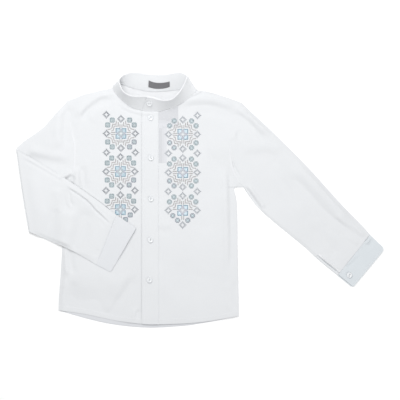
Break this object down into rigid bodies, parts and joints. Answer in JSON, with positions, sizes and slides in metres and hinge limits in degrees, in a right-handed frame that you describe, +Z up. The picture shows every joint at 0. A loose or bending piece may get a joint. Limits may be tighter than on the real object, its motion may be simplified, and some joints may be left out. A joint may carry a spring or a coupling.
{
  "type": "vyshyvanka shirt",
  "caption": "Boy's long-sleeved shirt with a standing band collar, buttoned placket and embroidered front strips, laid flat on its back, one sleeve folded over the front.",
  "frame": {"origin": "on the underside of the back panel, on the centre-front line, level with the armpits", "axes": "+Z up from the surface the shirt lies on, +X towards the wearer's left side, +Y towards the collar"},
  "size_m": [0.771, 0.5346, 0.036],
  "materials": {
    "shirting": "fine white plain-weave cotton shirting, matt, lightly pressed",
    "cuff_cloth": "the same shirting, interfaced and doubled, with a faint blue-grey cast",
    "label_tape": "grey woven tape, satin face, bare",
    "pearl": "white pearlescent polyester, polished"
  },
  "bodies": {
    "root": {"back": "shirting", "front_right": "shirting", "front_left": "shirting", "placket": "shirting", "sleeve_left": "shirting", "sleeve_right": "shirting", "cuff_left": "cuff_cloth", "cuff_right": "cuff_cloth", "collar": "shirting", "label": "label_tape", "button_collar": "pearl", "button_1": "pearl", "button_2": "pearl", "button_3": "pearl", "button_4": "pearl", "button_5": "pearl", "button_cuff_left": "pearl"}
  },
  "joints": []
}
